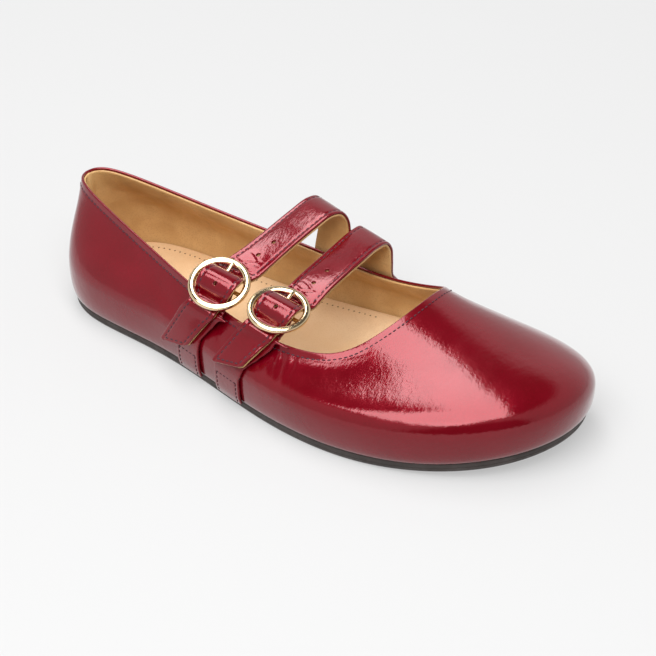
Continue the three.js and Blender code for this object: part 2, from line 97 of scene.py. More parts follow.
# Rows of a strap or tab from its end on the outer side: kind, place, width.  wall: side, at, up, off the
# wall.  ring: along the bar, inwards, above the ring.  free: at, out, height, and the width's direction at
# the end of the row.
OVER_BAR = BAR_RADIUS - BAR_DROP + 2 * GAP + TAB_THICK + STRAP_THICK / 2
UNDER_RING = -(WIRE_HIGH / 2 + GAP + STRAP_THICK / 2) - 0.3
STRAPS = {
    "rear": (
        ("free", (82.2, -42.8, 18.7), 13.1, (1, -0.15, 0.22)),
        ("free", (85, -41.9, 23.7), 13.3, (1, -0.12, 0.17)),
        ("free", (87.7, -40.8, 28.5), 13.6, (1, -0.06, 0.08)),
        ("free", (90.4, -39.4, 33.3), 13.9, (1, 0.02, -0.05)),
        ("ring", (-1.2, -12.4, UNDER_RING - 0.2), 14.2),
        ("ring", (-1, -9.6, UNDER_RING), 14.4),
        ("ring", (-0.8, -6.8, -3), 14.8),
        ("ring", (-0.3, -3.3, 1.3), 17),
        ("ring", (0, 0, OVER_BAR), 17.6),
        ("ring", (0.2, 2.6, 2.6), 17.4),
        ("ring", (0.4, 4.8, 1.5), 16.6),
        ("ring", (0.7, 6.8, -0.5), 15.2),
        ("ring", (1.3, 8.9, -2.6), 15.1),
        ("ring", (2.4, 11.4, UNDER_RING - 0.2), 15.5),
        ("ring", (3.4, 14.2, UNDER_RING), 16),
        ("free", (100.4, -4.5, 50.4), 16.6, (1, -0.1, -0.05)),
        ("free", (103, 7, 54.4), 17.1, (1, -0.2, 0)),
        ("free", (105.4, 17, 57.9), 17.3, (1, -0.25, 0)),
        ("free", (107.6, 26.4, 60.5), 17.4, (1, -0.27, 0)),
        ("free", (108.8, 31.7, 59.2), 17.4, (1, -0.27, 0)),
        ("free", (109.6, 34.7, 54.4), 17.4, (1, -0.24, 0)),
        ("free", (109.8, 35, 47.6), 17.6, (1, -0.16, 0)),
        ("free", (109.8, 34.2, 40.6), 18, (1, -0.04, 0)),
        ("wall", (1, 109.8, 0.92, 1.9), 18.5),
        ("wall", (1, 109.8, 0.6, 1.7), 19),
        ("wall", (1, 109.8, 0.26, 1.8), 19),
        ("wall", (1, 109.8, 0.06, 2), 19),
    ),
    "front": (
        ("free", (115.1, -49, 24), 14.6, (1, -0.1, 0.25)),
        ("free", (117.4, -46.6, 27.9), 14.6, (1, -0.08, 0.18)),
        ("free", (119.7, -43.7, 31.7), 14.6, (1, -0.04, 0.07)),
        ("free", (122, -40.5, 35.6), 14.6, (1, 0, -0.06)),
        ("ring", (-1.2, -12.4, UNDER_RING - 0.2), 14.6),
        ("ring", (-1, -9.6, UNDER_RING), 14.7),
        ("ring", (-0.8, -6.8, -3), 15),
        ("ring", (-0.3, -3.3, 1.3), 17),
        ("ring", (0, 0, OVER_BAR), 17.6),
        ("ring", (0.2, 2.6, 2.6), 17.4),
        ("ring", (0.4, 4.8, 1.5), 16.6),
        ("ring", (0.6, 6.8, -0.5), 15.2),
        ("ring", (1, 8.9, -2.6), 15.1),
        ("ring", (1.5, 11.2, UNDER_RING - 0.1), 15.4),
        ("ring", (2, 13.8, UNDER_RING + 0.5), 15.8),
        ("free", (127.9, -3.6, 45.8), 16.4, (1, -0.06, -0.05)),
        ("free", (128.6, 8, 48), 16.9, (1, -0.14, 0)),
        ("free", (129.2, 18.5, 49.8), 17.2, (1, -0.2, 0)),
        ("free", (129.7, 28, 51.2), 17.3, (1, -0.24, 0)),
        ("free", (130, 34.6, 50.4), 17.3, (1, -0.24, 0)),
        ("free", (130.1, 37.3, 46.2), 17.4, (1, -0.18, 0)),
        ("free", (130, 37, 40.6), 17.7, (1, -0.08, 0)),
        ("wall", (1, 130, 0.96, 1.9), 18.2),
        ("wall", (1, 130, 0.62, 1.7), 18.6),
        ("wall", (1, 130, 0.26, 1.8), 18.8),
        ("wall", (1, 130, 0.06, 2), 18.8),
    ),
}
BAR_ROW = 8                    # the row of each strap that lies over its buckle's bar
UNDER_STRAP = (STRAP_THICK + TAB_THICK) / 2 + GAP + 0.1
WRAP = BAR_RADIUS + GAP + TAB_THICK / 2
# under: row of the strap counted from its end, slide along its width.
TABS = {
    "rear": (
        ("wall", (-1, 88.4, 0.05, 1.1), 14),
        ("wall", (-1, 88.6, 0.26, 1.1), 14),
        ("wall", (-1, 89.2, 0.45, 1.3), 14),
        ("under", (3, 2.6), 13.8),
        ("under", (4, 2.9), 13.6),
        ("under", (5, 2.2), 13.6),
        ("under", (6, 1.3), 13.6),
        ("ring", (-0.3, -3.6, -3.2), 13.6),
    ),
    "front": (
        ("wall", (-1, 113.5, 0.05, 1), 15.6),
        ("wall", (-1, 114, 0.26, 1), 15.6),
        ("wall", (-1, 116, 0.46, 1.1), 15.2),
        ("under", (3, 1.8), 14.6),
        ("under", (4, 2.4), 14),
        ("under", (5, 1.9), 13.8),
        ("under", (6, 1.2), 13.8),
        ("ring", (-0.3, -3.6, -3.2), 13.8),
    ),
}

# ---- finish sizes ----------------------------------------------------------------
LEATHER = 1.15                 # outer leather of the upper, the rest of the wall is lining
TOP_STITCH = 2.6               # stitch line below the topline
EDGE_STITCH = 1.9              # stitch line inside the edge of a strap
STITCH_PITCH = 2.6
TAB_STITCH = 1.7               # stitch line inside the edge of a tab
TAB_SEWN = 11.5                # length of a tab that is stitched down
DOT_PITCH = 2.6                # punched dots of the sock
HOLE_RADIUS = 0.95
HOLE_CUT = 5.0                 # length of the punch that cuts a hole
# Distance of each punched hole from the bar along the strap, + to the inner side.
HOLES = {"rear": (-1.9, 7.0, 24.2, 33.2), "front": (-1.5, 7.0, 24.4, 33.4)}
# Cross wrinkles of a strap: distance from the bar, lean, half length, depth.
STRAP_WRINKLES = (
    (11.2, 0.2, 3.2, 0.34),
    (13.0, -0.3, 4.2, 0.26),
    (14.9, 0.1, 3.4, 0.32),
    (16.6, -0.1, 4.6, 0.22),
    (18.8, 0.25, 3.0, 0.20),
    (21.5, -0.2, 2.6, 0.14),
    (-10.5, 0.1, 4.0, 0.16),
    (-13.0, -0.2, 3.0, 0.10),
)
# Soft creases in the upper: side, at, up, turn from level (degrees), half length, half width, depth (mm).
CREASES = (
    (-1, 133, 0.80, 62, 7.0, 1.1, 0.12),
    (-1, 138, 0.72, 70, 8.0, 1.3, 0.14),
    (-1, 143, 0.78, 78, 6.0, 1.0, 0.10),
    (-1, 129, 0.60, 50, 7.0, 1.4, 0.12),
    (-1, 100, 0.74, 35, 9.0, 1.6, 0.20),
    (-1, 70, 0.62, 12, 16.0, 2.6, 0.22),
    (-1, 44, 0.70, -8, 15.0, 2.8, 0.20),
    (1, 148, 0.74, 105, 9.0, 1.4, 0.30),
    (1, 142, 0.66, 98, 8.0, 1.5, 0.26),
    (1, 90, 0.6, 10, 18.0, 2.6, 0.24),
    (1, 52, 0.7, -10, 15.0, 2.6, 0.22),
)


# ---- numbers ---------------------------------------------------------------------
def vec(*values):
    return np.array(values, float)


def unit(v):
    return v / np.maximum(np.linalg.norm(v, axis=-1, keepdims=True), 1e-12)


def placed(points):
    """Millimetres from the heel to metres in the frame."""
    return (np.asarray(points, float) - vec(MIDDLE, 0, 0)) * MM


def bell(x):
    return np.exp(-np.square(x))


def run_along(points):
    """Distance of each point from the first, along the line through them."""
    return np.concatenate([[0], np.cumsum(np.linalg.norm(np.diff(points, axis=0), axis=1))])


def between(where, run, values):
    """Values at the distances where, from those known at the distances run."""
    if values.ndim == 1:
        return np.interp(where, run, values)
    return np.stack([np.interp(where, run, values[:, k]) for k in range(3)], -1)


# ---- surface of the last ---------------------------------------------------------
def sole_top(x):
    share = np.clip((x - SPRING_FROM) / (SPRING_TO - SPRING_FROM), 0, 1.2)
    return SOLE + TOE_SPRING * share ** 2


def section_at(u):
    """Values of the columns at u, which runs once round the foot: heel 0, inner side, toe 0.5, outer side."""
    count = len(SECTIONS)
    spot = (np.asarray(u, float) % 1.0) * count
    low = np.floor(spot).astype(int)
    t = spot - low
    weights = ((1 - t) ** 3, 3 * t ** 3 - 6 * t ** 2 + 4, -3 * t ** 3 + 3 * t ** 2 + 3 * t + 1, t ** 3)
    rows = sum(w[..., None] / 6 * SECTIONS[(low + k - 1) % count] for k, w in enumerate(weights))
    return dict(zip(COLUMNS, np.moveaxis(rows, -1, 0)))


def widest(u):
    s = section_at(u)
    x = s["wide_at"] * LENGTH / 100
    return np.stack([x, s["wide_out"] * BALL_WIDTH / 200, s["wide_up"] + sole_top(x) - SOLE], -1)


def inward(u):
    a = widest(u - 1e-4)
    b = widest(u + 1e-4)
    return unit(np.stack([b[..., 1] - a[..., 1], a[..., 0] - b[..., 0], 0 * a[..., 0]], -1))


def feather(u, inset=0.0, lift=0.0):
    """The line where the upper meets the sole, moved in by inset and up by lift from the sole's top."""
    u = np.asarray(u, float)
    p = widest(u) + inward(u) * (OVERHANG + np.asarray(inset, float))[..., None]
    p[..., 2] = sole_top(p[..., 0]) + lift
    return p


def outer(u, p):
    """Outer face of the upper: p is 0 at the feather line, LOW_SHARE at the widest line, 1 at the topline."""
    u, p = np.broadcast_arrays(np.asarray(u, float), np.asarray(p, float))
    wide = widest(u)
    foot = feather(u)
    turn = np.clip(p / LOW_SHARE, 0, 1) * math.pi / 2
    low = foot.copy()
    low[..., :2] += (wide - foot)[..., :2] * np.sin(turn)[..., None]
    low[..., 2] += (wide - foot)[..., 2] * (1 - np.cos(turn))
    s = section_at(u)
    top = np.stack([s["top_at"] * LENGTH / 100, s["top_out"] * BALL_WIDTH / 200,
                    s["top_up"] * HEEL_HEIGHT / 100], -1)
    away = wide - top
    away[..., 2] = 0
    away = unit(away)
    tilt = np.radians(s["lean"])
    climb = wide.copy()
    climb[..., 2] += s["rise"]
    reach = top + away * (s["drop"] * np.cos(tilt))[..., None]
    reach[..., 2] -= s["drop"] * np.sin(tilt)
    t = np.clip((p - LOW_SHARE) / (1 - LOW_SHARE), 0, 1)[..., None]
    high = (1 - t) ** 3 * wide + 3 * t * (1 - t) ** 2 * climb + 3 * t ** 2 * (1 - t) * reach + t ** 3 * top
    return np.where((p < LOW_SHARE)[..., None], low, high)


def outer_normal(u, p):
    step = 1e-3
    along = outer(u + step, p) - outer(u - step, p)
    up = outer(u, np.minimum(p + step, 1)) - outer(u, np.maximum(p - step, 0))
    return unit(np.cross(up, along))


def wall_point(u, p, off=0.0):
    off = np.asarray(off, float)
    return outer(u, p) + outer_normal(u, p) * off[..., None]


def column_at(side, at, p):
    """The column on one side (+1 inner, -1 outer) whose wall is at a given distance from the heel."""
    low, high = 0.0, 0.5
    for _ in range(30):
        mid = (low + high) / 2
        if outer(side * mid, p)[0] < at:
            low = mid
        else:
            high = mid
    return side * low


def up_below(u, distance):
    """The height share p that lies a distance below the topline, along the wall of each column u."""
    ps = np.linspace(1, 0.5, 60)
    points = outer(u[:, None], ps[None, :])
    steps = np.linalg.norm(np.diff(points, axis=1), axis=-1)
    run = np.concatenate([np.zeros((len(u), 1)), np.cumsum(steps, axis=1)], axis=1)
    return np.array([np.interp(distance, run[k], ps) for k in range(len(u))])


# ---- curves ----------------------------------------------------------------------
def smooth_curve(marks, spots):
    """Centripetal Catmull-Rom curve through the marks, at given spots (0 is the first mark, 1 the next)."""
    marks = np.asarray(marks, float)
    padded = np.concatenate([2 * marks[:1] - marks[1:2], marks, 2 * marks[-1:] - marks[-2:-1]])
    low = np.minimum(np.floor(spots).astype(int), len(marks) - 2)
    t = (spots - low)[:, None]
    p0, p1, p2, p3 = (padded[low + k] for k in range(4))
    d0, d1, d2 = (np.sqrt(np.linalg.norm(b - a, axis=-1, keepdims=True))
                  for a, b in ((p0, p1), (p1, p2), (p2, p3)))
    d1 = np.where(d1 < 1e-4, 1, d1)
    d0 = np.where(d0 < 1e-4, d1, d0)
    d2 = np.where(d2 < 1e-4, d1, d2)
    m1 = ((p1 - p0) / d0 - (p2 - p0) / (d0 + d1) + (p2 - p1) / d1) * d1
    m2 = ((p2 - p1) / d1 - (p3 - p1) / (d1 + d2) + (p3 - p2) / d2) * d1
    a = 2 * p1 - 2 * p2 + m1 + m2
    b = -3 * p1 + 3 * p2 - 2 * m1 - m2
    return ((a * t + b) * t + m1) * t + p1


def ring_frame(at, out, on):
    """Centre and axes of a buckle: along its bar to the toe, across to the inner side, up off the ring."""
    out, on = math.radians(out), math.radians(on)
    up = vec(math.sin(on), -math.cos(on) * math.sin(out), math.cos(on) * math.cos(out))
    bar = unit(vec(1, 0, 0) - up * up[0])
    return {"centre": vec(*at), "bar": bar, "inner": np.cross(up, bar), "up": up}


def in_ring(rim, points):
    """Points from distances along the bar of a buckle, inwards, and above its ring."""
    points = np.atleast_2d(np.asarray(points, float))
    axes = np.stack([rim["bar"], rim["inner"], rim["up"]])
    return rim["centre"] + points @ axes


def route_mark(rim, row):
    """The point of one row of a route and the direction of the strip's width there."""
    kind, place = row[:2]
    if kind == "ring":
        return in_ring(rim, place)[0], rim["bar"]
    if kind == "free":
        return vec(*place), unit(vec(*row[3]))
    side, at, up, off = place
    u = column_at(side, at, up)
    across = unit(outer(u + side * 0.01, up) - outer(u - side * 0.01, up))
    return wall_point(np.float64(u), up, off), across


def follow(rows):
    """Adds rows between two rows on the same wall, or under the same strap, so that a strip keeps to it."""
    done = []
    for row, following in zip(rows, (*rows[1:], None)):
        kind, place, wide = row[:3]
        done.append(row)
        added = {"wall": 2, "under": 1}.get(kind, 0) if following and following[0] == kind else 0
        for j in range(1, added + 1):
            share = j / (added + 1)
            mixed = tuple(a + (b - a) * share for a, b in zip(place, following[1]))
            done.append((kind, mixed, wide + (following[2] - wide) * share))
    return done


class Strip:
    """A band of leather along a smooth curve, with its face direction and half width at every step."""

    def __init__(self, marks, spacing):
        fine = 40
        points, sides, widths = (np.array([mark[k] for mark in marks]) for k in range(3))
        spots = np.linspace(0, len(marks) - 1, fine * (len(marks) - 1) + 1)
        run = run_along(smooth_curve(points, spots))
        self.marks_run = run[::fine]
        self.length = run[-1]
        self.run = np.linspace(0, self.length, int(self.length / spacing) + 1)
        self.at = smooth_curve(points, np.interp(self.run, run, spots))
        ahead = unit(np.gradient(self.at, self.run, axis=0))
        self.across = unit(between(self.run, run, unit(smooth_curve(sides, spots))))
        self.out = unit(np.cross(self.across, ahead))
        lean = np.sum(self.across * ahead, axis=-1)
        self.stretch = 1 / np.sqrt(1 - lean ** 2)
        self.half = np.interp(self.run, self.marks_run, widths) / 2

    def sample(self, values, run):
        return between(run, self.run, values)

    def point(self, run, sideways, height):
        """Points at distances along, sideways (true mm across) and above the middle of the band."""
        run, sideways, height = np.broadcast_arrays(run, sideways, height)
        flat = run.ravel()
        at, across, out = (self.sample(v, flat) for v in (self.at, self.across, self.out))
        stretch = self.sample(self.stretch, flat)
        points = at + across * (sideways.ravel() * stretch)[:, None] + out * height.ravel()[:, None]
        return points.reshape(run.shape + (3,))


def strap_strip(name, rim):
    return Strip([(*route_mark(rim, row), row[2]) for row in follow(STRAPS[name])], 0.45)


def tab_strip(name, rim):
    """The tab from the wall up under the strap, round the bar and back under itself."""
    strap_marks = [route_mark(rim, row) for row in follow(STRAPS[name])]
    points, sides = (np.array([mark[k] for mark in strap_marks]) for k in range(2))
    marks = []
    for row in follow(TABS[name]):
        kind, place, wide = row
        if kind != "under":
            marks.append((*route_mark(rim, row), wide))
            continue
        strap_row, slide = place
        near = strap_row + vec(-0.01, 0, 0.01)
        at = smooth_curve(points, near)
        across = unit(smooth_curve(sides, near))[1]
        out = unit(np.cross(across, at[2] - at[0]))
        marks.append((at[1] - out * UNDER_STRAP + across * slide, across, wide))
    fold = [(0, WRAP * math.cos(math.radians(turn)), WRAP * math.sin(math.radians(turn)) - BAR_DROP)
            for turn in np.arange(170, -91, -32.5)]
    fold += [(0, -1.4, -3.9), (0, -3.2, -5.9)]
    marks += [(in_ring(rim, place)[0], rim["bar"], wide) for place in fold]
    return Strip(marks, 0.35)


# ---- meshes ----------------------------------------------------------------------
def linked(name, data):
    """A new object in the scene that holds a mesh, a light or a camera."""
    obj = bpy.data.objects.new(name, data)
    bpy.context.scene.collection.objects.link(obj)
    return obj


def smoothed(obj):
    for polygon in obj.data.polygons:
        polygon.use_smooth = True
    return obj


def finished(obj, replaces=()):
    smoothed(obj)
    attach(obj, "root")
    if replaces:
        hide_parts(*replaces)
    return obj


def piece(name, points, faces, material, replaces=()):
    """A finished piece of the shoe, from points in millimetres."""
    mesh = bpy.data.meshes.new(name)
    mesh.from_pydata(placed(points).tolist(), [], faces)
    mesh.materials.append(material)
    mesh.update()
    return finished(linked(name, mesh), replaces)


def skin_faces(rows, columns, close_rows=True, close_columns=True):
    """Quads over a grid of points, row by row, closed on itself either way."""
    i = np.arange(rows if close_rows else rows - 1)[:, None]
    j = np.arange(columns if close_columns else columns - 1)[None, :]
    i2, j2 = (i + 1) % rows, (j + 1) % columns
    a, b, c, d = (x.ravel() for x in np.broadcast_arrays(
        i * columns + j, i * columns + j2, i2 * columns + j2, i2 * columns + j))
    return np.stack([a, b, c, d], -1).tolist()


def weld(obj, distance=1e-7, sliver=0.0):
    """Joins points that coincide, closes up slivers where asked, and turns every face outwards."""
    work = bmesh.new()
    work.from_mesh(obj.data)
    bmesh.ops.remove_doubles(work, verts=work.verts, dist=distance)
    if sliver:
        bmesh.ops.dissolve_degenerate(work, edges=work.edges, dist=sliver)
    bmesh.ops.recalc_face_normals(work, faces=work.faces)
    work.to_mesh(obj.data)
    work.free()
    return smoothed(obj)


def band_faces(rings, around):
    """Faces of a band with closed sections and a flat cap at each end."""
    faces = skin_faces(rings, around, close_rows=False)
    faces.append(list(range(around))[::-1])
    faces.append(list(range((rings - 1) * around, rings * around)))
    return faces


def band_section(low, high, rim, steps):
    """Loop round a band's section: share of the half width, what the rounded rim adds, and height."""
    corner = np.linspace(0, math.pi / 2, 5)
    top = [(f, 0.0, high, 1.0) for f in np.linspace(-1, 1, steps)]
    right = [(1.0, rim * math.sin(a), high - rim + rim * math.cos(a), math.cos(a)) for a in corner[1:]]
    under = [(f, 0.0, low, 0.0) for f in np.linspace(1, -1, max(3, steps // 3))]
    right += [(1.0, rim * math.cos(a), low + rim - rim * math.sin(a), 0.0) for a in corner[:-1]]
    left = [(-f, -add, height, share) for f, add, height, share in reversed(right)]
    return np.array(top + right + under + left)


def band(name, strip, low, high, rim, inset, material, replaces=(), relief=None, ends=1.6, steps=33):
    """One layer of a strap or tab: a rounded band that follows the strip between two heights.

    Its corners are rounded by ends, its edge by rim, and it stops inset short of the strip's edge.
    """
    section = band_section(low, high, rim, steps)
    run = strip.run
    from_end = np.minimum(run, strip.length - run)
    corner = np.clip(ends - from_end, 0, ends)
    shrink = ends - np.sqrt(ends ** 2 - corner ** 2) if ends else 0 * run
    half = strip.half - inset - shrink
    sideways = section[None, :, 0] * (half[:, None] - rim) + section[None, :, 1]
    height = np.broadcast_to(section[None, :, 2], sideways.shape).copy()
    if relief is not None:
        height += section[None, :, 3] * relief(run[:, None], sideways, strip.half[:, None])
    points = strip.point(run[:, None], sideways, height)
    faces = band_faces(len(run), len(section))
    return weld(piece(name, points.reshape(-1, 3), faces, material, replaces))


def punched(obj, holes):
    """Cuts round holes through a band: each hole is a point and a direction, in millimetres."""
    for at, out in holes:
        bpy.ops.mesh.primitive_cylinder_add(vertices=20, radius=HOLE_RADIUS * MM, depth=HOLE_CUT * MM)
        tool = bpy.context.object
        tool.location = placed(at)
        tool.rotation_mode = "QUATERNION"
        tool.rotation_quaternion = Vector(out).to_track_quat("Z", "Y")
        bpy.context.view_layer.update()
        cutter = obj.modifiers.new("hole", "BOOLEAN")
        cutter.operation = "DIFFERENCE"
        cutter.solver = "EXACT"
        cutter.object = tool
        graph = bpy.context.evaluated_depsgraph_get()
        mesh = bpy.data.meshes.new_from_object(obj.evaluated_get(graph))
        obj.modifiers.clear()
        obj.data = mesh
        bpy.data.objects.remove(tool)
    return smoothed(obj)


# ---- stitches and dots, by geometry nodes ----------------------------------------
def repeat_tree(name, shape):
    """Puts one small shape on every point, along and up as the points say, and makes it all one mesh."""
    tree = bpy.data.node_groups.new(name, "GeometryNodeTree")
    face = tree.interface
    face.new_socket("Geometry", in_out="INPUT", socket_type="NodeSocketGeometry")
    for label in ("Long", "Wide", "Tall"):
        face.new_socket(label, in_out="INPUT", socket_type="NodeSocketFloat").default_value = MM
    face.new_socket("Finish", in_out="INPUT", socket_type="NodeSocketMaterial")
    face.new_socket("Geometry", in_out="OUTPUT", socket_type="NodeSocketGeometry")
    node = tree.nodes.new
    link = tree.links.new
    given, done = node("NodeGroupInput"), node("NodeGroupOutput")
    if shape == "thread":
        form = node("GeometryNodeMeshUVSphere")
        form.inputs["Segments"].default_value = 10
        form.inputs["Rings"].default_value = 6
    else:
        form = node("GeometryNodeMeshCylinder")
        form.inputs["Vertices"].default_value = 14
        form.inputs["Depth"].default_value = 2.0
    form.inputs["Radius"].default_value = 1.0
    size = node("ShaderNodeCombineXYZ")
    for label, axis in (("Long", "X"), ("Wide", "Y"), ("Tall", "Z")):
        link(given.outputs[label], size.inputs[axis])
    scaled = node("GeometryNodeTransform")
    link(form.outputs["Mesh"], scaled.inputs["Geometry"])
    link(size.outputs["Vector"], scaled.inputs["Scale"])
    turn = None
    for label, axis, pivot in (("along", "X", "AUTO"), ("up", "Z", "X")):
        stored = node("GeometryNodeInputNamedAttribute")
        stored.data_type = "FLOAT_VECTOR"
        stored.inputs["Name"].default_value = label
        aligned = node("FunctionNodeAlignRotationToVector")
        aligned.axis = axis
        aligned.pivot_axis = pivot
        link(stored.outputs["Attribute"], aligned.inputs["Vector"])
        if turn is not None:
            link(turn.outputs["Rotation"], aligned.inputs["Rotation"])
        turn = aligned
    copies = node("GeometryNodeInstanceOnPoints")
    link(given.outputs["Geometry"], copies.inputs["Points"])
    link(scaled.outputs["Geometry"], copies.inputs["Instance"])
    link(turn.outputs["Rotation"], copies.inputs["Rotation"])
    real = node("GeometryNodeRealizeInstances")
    link(copies.outputs["Instances"], real.inputs["Geometry"])
    finish = node("GeometryNodeSetMaterial")
    link(real.outputs["Geometry"], finish.inputs["Geometry"])
    link(given.outputs["Finish"], finish.inputs["Material"])
    link(finish.outputs["Geometry"], done.inputs["Geometry"])
    return tree


def repeated(name, rows, tree, size, material):
    """One mesh of a small shape at every place of the rows (points, along, up), long, wide and tall in mm."""
    points, along, up = (np.concatenate([row[k] for row in rows]) for k in range(3))
    mesh = bpy.data.meshes.new(name + "_places")
    mesh.from_pydata(placed(points).tolist(), [], [])
    for label, values in (("along", along), ("up", up)):
        stored = mesh.attributes.new(label, "FLOAT_VECTOR", "POINT")
        stored.data.foreach_set("vector", np.asarray(values, np.float32).ravel())
    holder = linked(name + "_places", mesh)
    modifier = holder.modifiers.new("repeat", "NODES")
    modifier.node_group = tree
    ids = {item.name: item.identifier for item in tree.interface.items_tree if item.in_out == "INPUT"}
    for label, value in zip(("Long", "Wide", "Tall"), size):
        modifier[ids[label]] = value / 2 * MM
    modifier[ids["Finish"]] = material
    graph = bpy.context.evaluated_depsgraph_get()
    made = bpy.data.meshes.new_from_object(holder.evaluated_get(graph))
    bpy.data.objects.remove(holder)
    made.name = name
    finished(linked(name, made))


def spaced(points, ups, pitch, margin=0.5):
    """Evenly spaced places along a polyline: points, directions along it and up from the leather."""
    run = run_along(points)
    count = max(2, int(round((run[-1] - 2 * margin * pitch) / pitch)) + 1)
    spots = np.linspace(margin * pitch, run[-1] - margin * pitch, count)
    along = unit(between(spots + 0.2, run, points) - between(spots - 0.2, run, points))
    return between(spots, run, points), along, unit(between(spots, run, ups))


# ---- materials -------------------------------------------------------------------
def set_range(node, low, high, to_low, to_high):
    for label, number in (("From Min", low), ("From Max", high), ("To Min", to_low), ("To Max", to_high)):
        node.inputs[label].default_value = number


class Finish:
    """A node material: a shader with a few short calls for colour, grain and bump."""

    def __init__(self, name, colour, roughness, **sockets):
        self.material = bpy.data.materials.new(name)
        self.material.use_nodes = True
        self.tree = self.material.node_tree
        self.shader = self.tree.nodes["Principled BSDF"]
        self.set(**{"Base Color": (*colour, 1), "Roughness": roughness}, **sockets)
        self.place = self.node("ShaderNodeTexCoord").outputs["Object"]
        self.normal = None

    def set(self, **sockets):
        for label, value in sockets.items():
            self.shader.inputs[label].default_value = value

    def node(self, kind, **settings):
        made = self.tree.nodes.new(kind)
        for label, value in settings.items():
            setattr(made, label, value)
        return made

    def link(self, a, b):
        self.tree.links.new(a, b)

    def pattern(self, kind, size, stretch=(1, 1, 1)):
        """A texture node whose pattern is about size millimetres across."""
        mapping = self.node("ShaderNodeMapping")
        mapping.inputs["Scale"].default_value = stretch
        self.link(self.place, mapping.inputs["Vector"])
        node = self.node(kind)
        node.inputs["Scale"].default_value = 1 / (size * MM)
        self.link(mapping.outputs["Vector"], node.inputs["Vector"])
        return node

    def noise(self, size, detail, stretch=(1, 1, 1), distortion=0.0):
        node = self.pattern("ShaderNodeTexNoise", size, stretch)
        node.inputs["Detail"].default_value = detail
        node.inputs["Distortion"].default_value = distortion
        return node.outputs["Fac"]

    def cells(self, size):
        return self.pattern("ShaderNodeTexVoronoi", size).outputs["Distance"]

    def ranged(self, value, low, high, to_low=0, to_high=1):
        node = self.node("ShaderNodeMapRange", interpolation_type="SMOOTHSTEP")
        self.link(value, node.inputs["Value"])
        set_range(node, low, high, to_low, to_high)
        return node.outputs["Result"]

    def patches(self, size, detail, spread=(0.3, 0.7), levels=(0, 1), stretch=(1, 1, 1)):
        """Soft patches of about size millimetres, from one level to another."""
        return self.ranged(self.noise(size, detail, stretch), *spread, *levels)

    def blend(self, share, first, second):
        """Colour between two, which are colours or sockets."""
        node = self.node("ShaderNodeMix", data_type="RGBA")
        self.link(share, node.inputs["Factor"])
        for socket, value in ((node.inputs[6], first), (node.inputs[7], second)):
            if isinstance(value, tuple):
                socket.default_value = (*value, 1)
            else:
                self.link(value, socket)
        return node.outputs[2]

    def colour(self, socket):
        self.link(socket, self.shader.inputs["Base Color"])

    def rough(self, socket):
        self.link(socket, self.shader.inputs["Roughness"])

    def bump(self, height, depth):
        """Adds relief of about depth millimetres."""
        node = self.node("ShaderNodeBump")
        node.inputs["Distance"].default_value = depth * MM
        self.link(height, node.inputs["Height"])
        if self.normal is not None:
            self.link(self.normal, node.inputs["Normal"])
        self.normal = node.outputs["Normal"]
        self.link(self.normal, self.shader.inputs["Normal"])

    def bump_coat(self):
        self.link(self.normal, self.shader.inputs["Coat Normal"])


def patent_red():
    """Dark red leather under a thick clear lacquer that shows fine wrinkles where it catches light."""
    made = Finish("patent_red", (0.09, 0.001, 0.006), 0.16, **{
        "Coat Weight": 0.75, "Coat Roughness": 0.05, "Coat IOR": 1.5, "Specular IOR Level": 0.85,
        "Specular Tint": (1.0, 0.05, 0.09, 1)})
    base = made.blend(made.patches(17, 4), (0.100, 0.0001, 0.0030), (0.125, 0.0004, 0.0052))
    made.colour(made.blend(made.patches(1.3, 3, (0.35, 0.7)), base, (0.112, 0.0002, 0.0040)))
    made.rough(made.patches(9, 3, levels=(0.13, 0.22)))
    made.bump(made.noise(26, 2), 0.25)
    made.bump(made.noise(3.2, 3, stretch=(1.3, 0.7, 1)), 0.07)
    made.bump(made.noise(0.9, 2, stretch=(1.5, 0.6, 1)), 0.04)
    made.bump_coat()
    return made.material


def tan_lining():
    made = Finish("tan_lining", (0.56, 0.33, 0.14), 0.5, **{"Specular IOR Level": 0.4})
    base = made.blend(made.patches(14, 4, (0.3, 0.75)), (0.50, 0.29, 0.11), (0.62, 0.39, 0.17))
    made.colour(made.blend(made.ranged(made.cells(0.7), 0.0, 0.5), (0.45, 0.25, 0.10), base))
    made.rough(made.patches(6, 3, levels=(0.42, 0.6)))
    made.bump(made.noise(11, 3, stretch=(0.5, 0.5, 1.6), distortion=0.6), 0.5)
    made.bump(made.noise(1.4, 3), 0.05)
    return made.material


def pale_sock():
    made = Finish("pale_sock", (0.78, 0.52, 0.30), 0.55, **{"Specular IOR Level": 0.35})
    base = made.blend(made.patches(30, 4), (0.70, 0.46, 0.25), (0.78, 0.55, 0.33))
    made.colour(made.blend(made.ranged(made.cells(0.6), 0.0, 0.45), (0.64, 0.40, 0.21), base))
    made.bump(made.noise(18, 3), 0.35)
    made.bump(made.noise(1.1, 3), 0.05)
    return made.material


def dark_rubber():
    made = Finish("dark_rubber", (0.040, 0.030, 0.027), 0.6, **{"Specular IOR Level": 0.45})
    made.colour(made.blend(made.patches(8, 4), (0.032, 0.024, 0.021), (0.052, 0.040, 0.036)))
    made.rough(made.patches(2, 3, levels=(0.5, 0.7)))
    made.bump(made.noise(0.5, 3), 0.03)
    return made.material


def pale_gold():
    made = Finish("pale_gold", (0.88, 0.68, 0.42), 0.12, Metallic=1.0)
    made.colour(made.blend(made.patches(3, 3), (0.84, 0.62, 0.36), (0.90, 0.72, 0.46)))
    made.rough(made.patches(1.2, 4, (0.3, 0.75), (0.08, 0.18), (1, 1, 0.3)))
    made.bump(made.noise(5, 2), 0.03)
    return made.material


